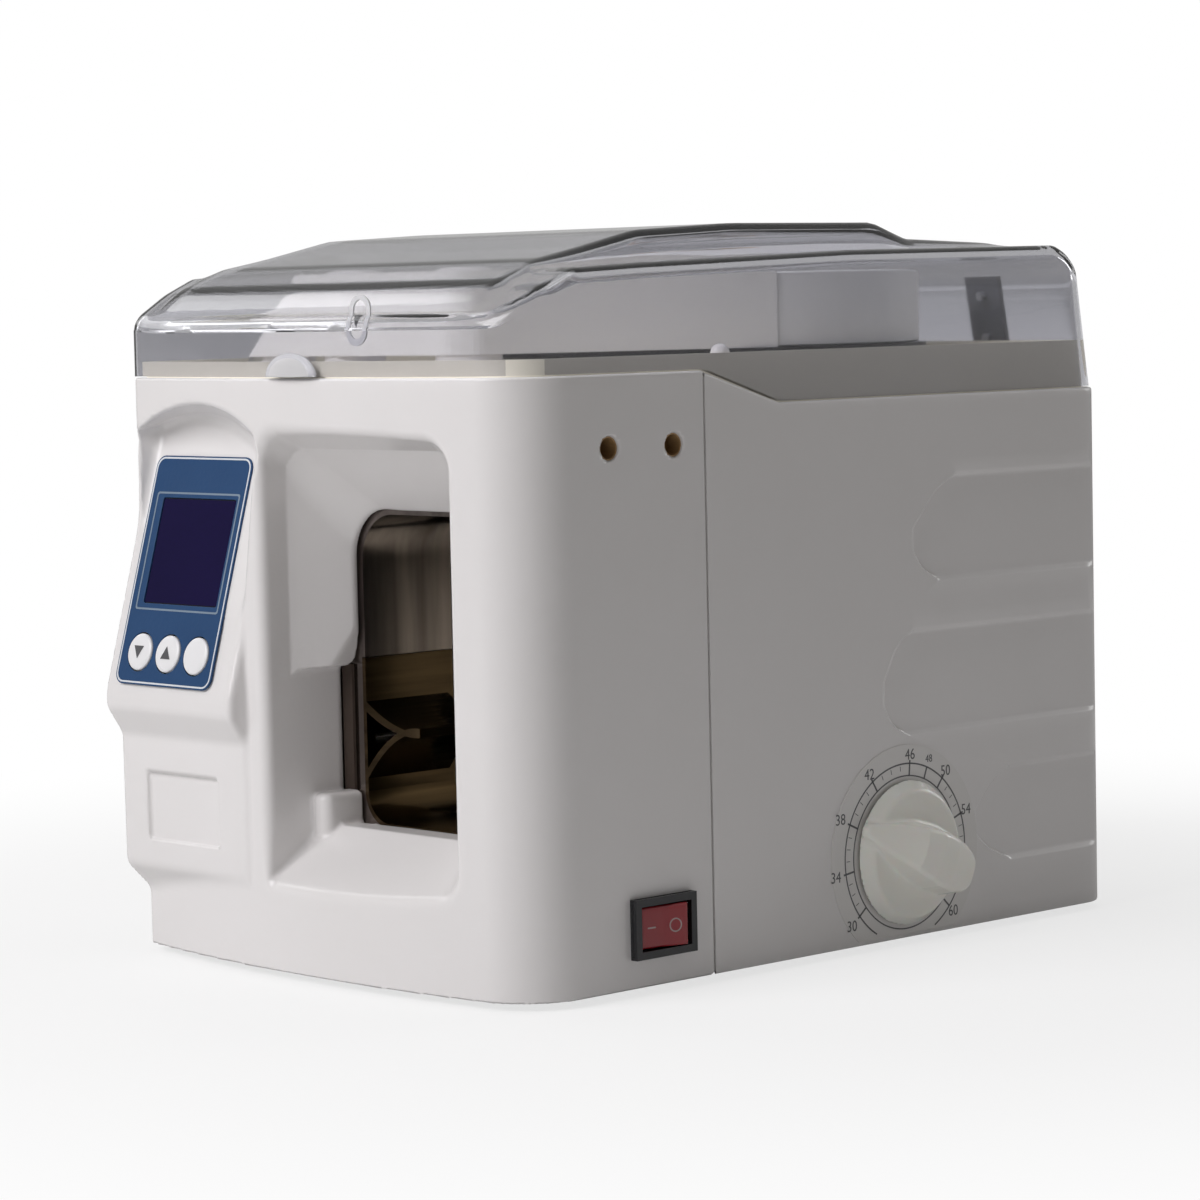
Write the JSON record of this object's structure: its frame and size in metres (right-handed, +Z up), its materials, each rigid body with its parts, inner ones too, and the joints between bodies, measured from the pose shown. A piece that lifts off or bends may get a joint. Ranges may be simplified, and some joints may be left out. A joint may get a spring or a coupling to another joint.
{
  "type": "banknote strapping machine",
  "caption": "Bench machine that binds a banknote bundle with paper tape: front note bay, side position dial, tilted keypad console, clear hinged cover over the tape roll.",
  "frame": {"origin": "middle of the underside of the bounding box, on the surface the rubber feet stand on", "axes": "+Z up, +Y from the front with the note bay to the back with the hinges, +X to the side with the dial and the power switch"},
  "size_m": [0.173, 0.2378, 0.1905],
  "materials": {
    "off_white_abs": "glossy moulded housing",
    "ivory_abs": "ivory moulded tray",
    "clear_cover": "clear polycarbonate",
    "grey_plastic": "satin grey",
    "black_plastic": "satin black",
    "white_key": "white key caps",
    "overlay_blue": "printed polycarbonate film",
    "lcd_dark": "dark display glass",
    "pcb_green": "solder mask",
    "rubber_black": "matt rubber",
    "steel": "brushed",
    "polished_steel": "polished stainless sheet",
    "brass": "machined brass",
    "paper": "white kraft paper tape",
    "cardboard": "cardboard core",
    "rocker_red": "red translucent rocker",
    "knob_white": "off-white knob",
    "scale_film": "clear printed film",
    "blade_steel": "ground blade"
  },
  "bodies": {
    "machine": {"front_housing": "off_white_abs", "rear_housing": "off_white_abs", "base_plate": "steel", "rubber_feet": "rubber_black", "base_screws": "steel", "deck_tray": "ivory_abs", "hinge_brackets": "grey_plastic", "hinge_pins": "steel", "reel_spindle": "steel", "spindle_nut": "off_white_abs", "tape_lead": "paper", "tape_sensor": "off_white_abs", "guide_bracket": "off_white_abs", "turn_bar": "steel", "console_overlay": "overlay_blue", "lcd_module": "lcd_dark", "console_board": "pcb_green", "frame_front": "polished_steel", "frame_rear": "steel", "frame_spacers": "steel", "gear_plate": "steel", "arch_upper": "polished_steel", "arch_lower": "polished_steel", "note_bed": "polished_steel", "guide_rods": "steel", "drive_brackets": "steel", "feed_motor": "steel", "tape_channel": "steel", "cam_cheeks": "steel", "cam_motor": "steel", "switch_body": "black_plastic", "dial_scale": "scale_film", "knob_bush": "brass", "transformer": "steel", "main_board": "pcb_green", "inlet_socket": "black_plastic"},
    "cover": {"top_cover": "clear_cover", "hinge_leaves": "grey_plastic"},
    "reel": {"reel_plate": "black_plastic", "tape_core": "cardboard", "tape_roll": "paper"},
    "left_roller": {"guide_roller_left": "off_white_abs"},
    "right_roller": {"guide_roller_right": "off_white_abs"},
    "down_button": {"down_key": "white_key"},
    "up_button": {"up_key": "white_key"},
    "clear_button": {"clear_key": "white_key"},
    "rocker": {"switch_rocker": "rocker_red"},
    "knob": {"position_knob": "knob_white", "knob_shaft": "steel"},
    "stop": {"note_stop": "ivory_abs", "stop_carriage": "black_plastic", "stop_rack": "white_key"},
    "feed": {"feed_roller": "rubber_black"},
    "pinch": {"pinch_roller": "steel"},
    "feed_drive": {"feed_pinion": "brass"},
    "cams": {"camshaft": "steel"},
    "cam_drive": {"cam_pinion": "brass"},
    "clamp": {"tape_clamp": "steel"},
    "heater": {"heater_block": "brass"},
    "cutter": {"cutter_blade": "blade_steel"}
  },
  "joints": [
    {"name": "cover_hinge", "type": "hinge", "parent": "machine", "child": "cover", "pos_m": [-0.0095, 0.11553, 0.148], "axis": [-1, 0, 0], "range_deg": [0, 100]},
    {"name": "reel_spin", "type": "hinge", "parent": "machine", "child": "reel", "pos_m": [-0.0095, 0.02653, 0.162], "axis": [0, 0, 1], "continuous": true},
    {"name": "left_roller_spin", "type": "hinge", "parent": "machine", "child": "left_roller", "pos_m": [-0.0375, -0.06952, 0.167], "axis": [0, 0, 1], "continuous": true},
    {"name": "right_roller_spin", "type": "hinge", "parent": "machine", "child": "right_roller", "pos_m": [0.0065, -0.06952, 0.167], "axis": [0, 0, 1], "continuous": true},
    {"name": "down_press", "type": "slide", "parent": "machine", "child": "down_button", "axis": [0, 0.9613, -0.2756], "range_m": [0, 0.0006], "stiffness_N_per_m": 900},
    {"name": "up_press", "type": "slide", "parent": "machine", "child": "up_button", "axis": [0, 0.9613, -0.2756], "range_m": [0, 0.0006], "stiffness_N_per_m": 900},
    {"name": "clear_press", "type": "slide", "parent": "machine", "child": "clear_button", "axis": [0, 0.9613, -0.2756], "range_m": [0, 0.0006], "stiffness_N_per_m": 900},
    {"name": "rocker_tip", "type": "hinge", "parent": "machine", "child": "rocker", "pos_m": [0.0645, -0.06447, 0.0169], "axis": [0, 0, 1], "range_deg": [0, 20]},
    {"name": "knob_turn", "type": "hinge", "parent": "machine", "child": "knob", "pos_m": [0.0675, 0.02583, 0.0248], "axis": [1, 0, 0], "range_deg": [-200, 63]},
    {"name": "stop_slide", "type": "slide", "parent": "machine", "child": "stop", "axis": [0, 1, 0], "range_m": [-0.00714, 0.02268]},
    {"name": "feed_spin", "type": "hinge", "parent": "machine", "child": "feed", "pos_m": [-0.0552, -0.07247, 0.107], "axis": [0, 1, 0], "continuous": true},
    {"name": "pinch_spin", "type": "hinge", "parent": "machine", "child": "pinch", "pos_m": [-0.0718, -0.07247, 0.107], "axis": [0, 1, 0], "continuous": true},
    {"name": "feed_drive_spin", "type": "hinge", "parent": "machine", "child": "feed_drive", "pos_m": [-0.0552, -0.05247, 0.086], "axis": [0, 1, 0], "continuous": true},
    {"name": "cam_spin", "type": "hinge", "parent": "machine", "child": "cams", "pos_m": [-0.0495, -0.07127, 0.042], "axis": [1, 0, 0], "continuous": true},
    {"name": "cam_drive_spin", "type": "hinge", "parent": "machine", "child": "cam_drive", "pos_m": [-0.0695, -0.07127, 0.024], "axis": [1, 0, 0], "continuous": true},
    {"name": "clamp_lift", "type": "slide", "parent": "machine", "child": "clamp", "axis": [0, 0, 1], "range_m": [-0.0015, 0]},
    {"name": "heater_lift", "type": "slide", "parent": "machine", "child": "heater", "axis": [0, 0, 1], "range_m": [-0.0015, 0]},
    {"name": "cutter_lift", "type": "slide", "parent": "machine", "child": "cutter", "axis": [0, 0, 1], "range_m": [-0.0015, 0]}
  ],
  "couplings": [
    {"joint": "left_roller_spin", "follows": "reel_spin", "ratio": 7.75},
    {"joint": "right_roller_spin", "follows": "reel_spin", "ratio": 7.75},
    {"joint": "knob_turn", "follows": "stop_slide", "rad_per_m": -153.85},
    {"joint": "pinch_spin", "follows": "feed_spin", "ratio": -1.6667},
    {"joint": "feed_drive_spin", "follows": "feed_spin", "ratio": -2.5},
    {"joint": "cam_drive_spin", "follows": "cam_spin", "ratio": -1.5714}
  ]
}
